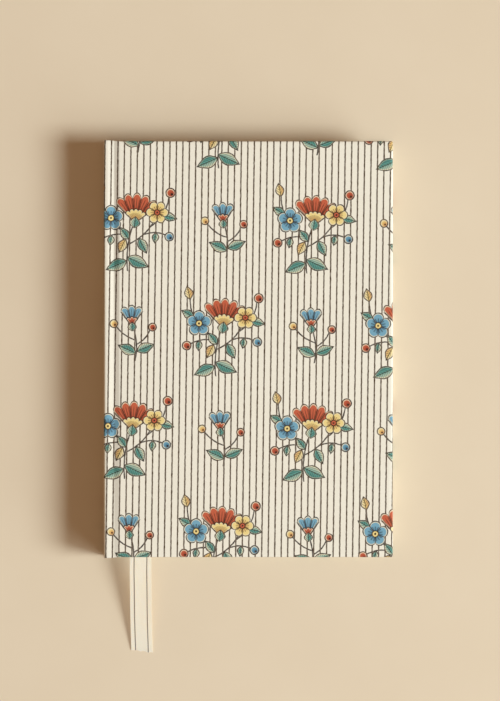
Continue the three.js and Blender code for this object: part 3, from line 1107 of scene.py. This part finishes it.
def ribbon_material():
    graph = Graph("ribbon_twill")
    across, along, _ = graph.split(graph.sheet())
    wales = wave((along + across * 1.15) * (2 * pi / WALE_PITCH))
    picks = wave(along * (4 * pi / WALE_PITCH))
    wear = graph.noise(graph.sheet(), 0.35, detail=3)
    from_middle = abs(across - RIBBON_WIDE / 2)
    colour = graph.mix(wales, rgb(244, 228, 204), rgb(253, 240, 222))
    colour = graph.mix(wear * 0.4, colour, rgb(246, 229, 205))
    edge = ramp(from_middle, 5.0, -5 * (RIBBON_WIDE / 2 - 0.75))
    colour = graph.mix(edge * 0.5, colour, rgb(246, 231, 208))
    ragged = graph.streaks(graph.sheet(), 2.0, 3.0)
    for place in LINE_PLACES:
        off = abs(across - place) + (ragged - 0.5) * 0.14
        line = ramp(off, -8.0, 8.0 * 0.26 + 0.5)
        colour = graph.mix(line * 0.85, colour, rgb(84, 58, 44))
    height = wales * 0.7 + picks * 0.3
    # Painted shade on the selvedges' very rims, which face the lamps
    rim = ramp(from_middle, 8.0, -8 * (RIBBON_WIDE / 2 - 0.12))
    colour = graph.mix(rim * 0.5, colour, rgb(206, 188, 154))
    # Between its threads the weave lets some light through, so its shadow is thin
    shadow_ray = graph.node("ShaderNodeLightPath", {}, output="Is Shadow Ray")
    light = {"Subsurface Weight": 0.6, "Subsurface Radius": (1.0, 0.85, 0.7), "Subsurface Scale": 0.0005}
    light["Alpha"] = 1 - shadow_ray * LET_THROUGH
    return graph.finish(colour, 0.68, graph.bump(height, 0.00004), **light)


def ribbon_path():
    """Places of the ribbon's middle from the head to the free end, as they follow one another."""
    z_held = (RIBBON_LOW.z + RIBBON_HIGH.z) / 2
    head = (FOLD_X + RIBBON_HALF_WIDE, PAGE_Y - 1 * MM, z_held)
    exit_x = (TAIL_LOW.x + TAIL_HIGH.x) / 2 - 0.4 * MM
    mouth = (exit_x, -PAGE_Y, z_held)
    path = []
    for y in spread(head[1], mouth[1], -8 * MM):
        share = (y - head[1]) / (mouth[1] - head[1])
        path.append((head[0] + (mouth[0] - head[0]) * share, y, z_held))
    end_y = TAIL_LOW.y
    level = COVER_Y + 1 * MM
    for y in spread(-PAGE_Y, end_y, -0.8 * MM)[1:]:
        share = (-y - PAGE_Y) / (-end_y - PAGE_Y)
        fall = max(0, (-y - level) / (-end_y - level))
        curve = fall + 0.035 * sin(pi * fall) - 0.018 * sin(2 * pi * fall)
        z = z_held + (RIBBON_LIES - z_held) * min(1, curve)
        drift = 0.8 * share + 0.1 * sin(2.2 * pi * share) - 0.4 * smooth_step(4 * share)
        path.append((exit_x + drift * MM, y, z))
    return path


def make_ribbon():
    path = ribbon_path()
    shares = [-1] + spread(-0.98, 0.98, 0.14) + [1]
    points = []
    flats = []
    for (x, y, z), length in zip(path, run_along(path)):
        free = smooth_step((-y - PAGE_Y - 3 * MM) / (25 * MM))
        end = smooth_step((TAIL_LOW.y + 6 * MM - y) / (6 * MM))
        for share in shares:
            cut = (0.16 * sin(9 * share) - 0.8 * share - 0.5) * MM * end
            cup = 0.07 * MM * free * (share * share - 0.33)
            roll = 0.16 * MM * free * share * sin((-y - PAGE_Y) / (14 * MM))
            lift = max(-z + 0.12 * MM, cup + roll) if free else 0
            points.append((x + share * RIBBON_HALF_WIDE, y + cut, z + lift))
            flats.append(((share + 1) * RIBBON_WIDE * MM / 2, length))
    piece = make_object("ribbon", points, grid_faces(len(path), len(shares)), flats)
    thicken(piece, RIBBON_THICK, 0)
    piece.data.materials.append(ribbon_material())
    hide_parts("ribbon_marker", "ribbon_tail")
    z_held = path[0][2]
    x_bend = (TAIL_LOW.x + TAIL_HIGH.x) / 2
    end = (x_bend, -COVER_Y - 4 * MM, z_held)
    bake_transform(piece)


def dress(material, *names):
    """A new material for CAD nodes that are kept as they are."""
    for name in names:
        node = bpy.data.objects[name]
        node.data.materials.clear()
        node.data.materials.append(material)


dress(board_stock(), "front_board", "back_board", "spine_strip")
GAUZE = gauze("gauze_flat", False)
dress(GAUZE, "front_mull_flap", "back_mull_flap")
dress(gauze("gauze_upright", True), "spine_mull")
dress(kraft(), "spine_lining")
dress(linen_thread(), *[f"sewing_thread_{number}" for number in range(1, 5)])
make_signatures()
make_leaves()
for cover_side in ("front", "back"):
    make_endpaper(cover_side)
    make_mull_joint(cover_side)
silk = band_material()
make_band("headband", silk)
make_band("tailband", silk)
make_ribbon()


# The floor and the light
LIT_FROM = 350  # millimetres towards the lamps, where their light starts to grow on the floor
LIT_REACH = 1180  # so far beyond that, it would be twice as strong
FLOOR_REACH = 3.0


def make_stage():
    graph = Graph("floor")
    point = graph.place()
    tone = graph.noise(point, 0.02, detail=3)
    colour = graph.mix(tone, rgb(226, 207, 178), rgb(232, 214, 186))
    # Darker towards the lamps, so that the floor stays as bright far from the notebook as beside it
    nearer = highest(graph.split(point)[0] - LIT_FROM, 0) / LIT_REACH + 1
    material = graph.finish(graph.dimmed(colour, 1 / nearer), 0.95)
    corners = [(x * FLOOR_REACH, y * FLOOR_REACH, 0) for x, y in ((-1, -1), (1, -1), (1, 1), (-1, 1))]
    floor = make_object("floor", corners, [(0, 1, 2, 3)], smooth=False)
    floor.data.materials.append(material)


LAMP_AWAY = 6
LAMPS = {  # degrees above the floor and from +X towards the tail, width in metres, watts
    "key": (32, 9, 2.3, 395),
    "glow": (22, 25, 4.3, 226),
}
LAMP_COLOUR = (0.83, 0.935, 1.0)
ROOM_COLOUR = (1.0, 0.667, 0.437)
ROOM_LIGHT = 0.292


def make_light():
    for name, (above, turn, width, watts) in LAMPS.items():
        data = bpy.data.lights.new(name, "AREA")
        data.shape = "DISK"
        data.size = width
        data.energy = watts
        data.color = LAMP_COLOUR
        lamp = bpy.data.objects.new(name, data)
        rise = radians(above)
        side = radians(-turn)
        reach = cos(rise)
        place = (reach * cos(side), reach * sin(side), sin(rise))
        lamp.location = Vector(place) * LAMP_AWAY
        lamp.rotation_euler = (-Vector(place)).to_track_quat("-Z", "Y").to_euler()
        bpy.context.scene.collection.objects.link(lamp)
    world = bpy.data.worlds.new("room")
    bpy.context.scene.world = world
    world.use_nodes = True
    tree = world.node_tree
    background = tree.nodes["Background"]
    background.inputs["Color"].default_value = (*ROOM_COLOUR, 1)
    background.inputs["Strength"].default_value = ROOM_LIGHT
    backdrop = tree.nodes.new("ShaderNodeBackground")
    backdrop.inputs["Color"].default_value = (*rgb(226, 207, 178), 1)
    seen = tree.nodes.new("ShaderNodeLightPath")
    either = tree.nodes.new("ShaderNodeMixShader")
    tree.links.new(seen.outputs["Is Camera Ray"], either.inputs["Fac"])
    tree.links.new(background.outputs[0], either.inputs[1])
    tree.links.new(backdrop.outputs[0], either.inputs[2])
    tree.links.new(either.outputs[0], tree.nodes["World Output"].inputs["Surface"])
    bpy.context.scene.view_settings.view_transform = "Standard"


make_stage()
make_light()
